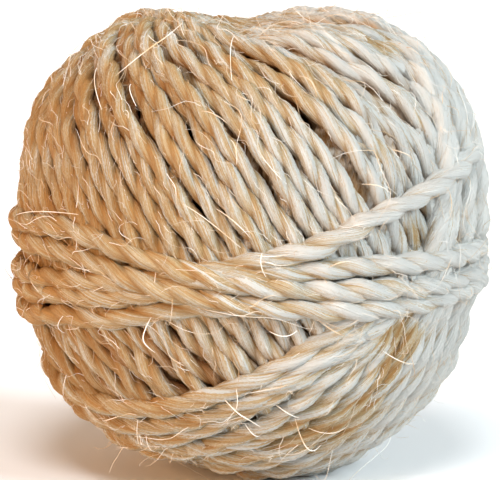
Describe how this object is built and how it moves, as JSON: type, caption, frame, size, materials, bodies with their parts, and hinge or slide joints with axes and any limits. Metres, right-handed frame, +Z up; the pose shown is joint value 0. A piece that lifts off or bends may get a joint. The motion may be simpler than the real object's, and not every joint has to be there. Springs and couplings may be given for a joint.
{
  "type": "ball of sisal twine",
  "caption": "Hand-wound ball of natural hairy two-ply sisal twine, with slanting turns, a belt of turns round its waist and a small flat spot to stand on.",
  "frame": {"origin": "under the ball's middle, at the height of the surface that it stands on", "axes": "+Z up, -Y towards the front with the climbing turn at its right, +X to the right"},
  "size_m": [0.0874, 0.0876, 0.0848],
  "materials": {
    "sisal_twine": "dry, hairy natural sisal fibre, pale straw with golden streaks"
  },
  "bodies": {
    "root": {"twine_ball": "sisal_twine"}
  },
  "joints": []
}
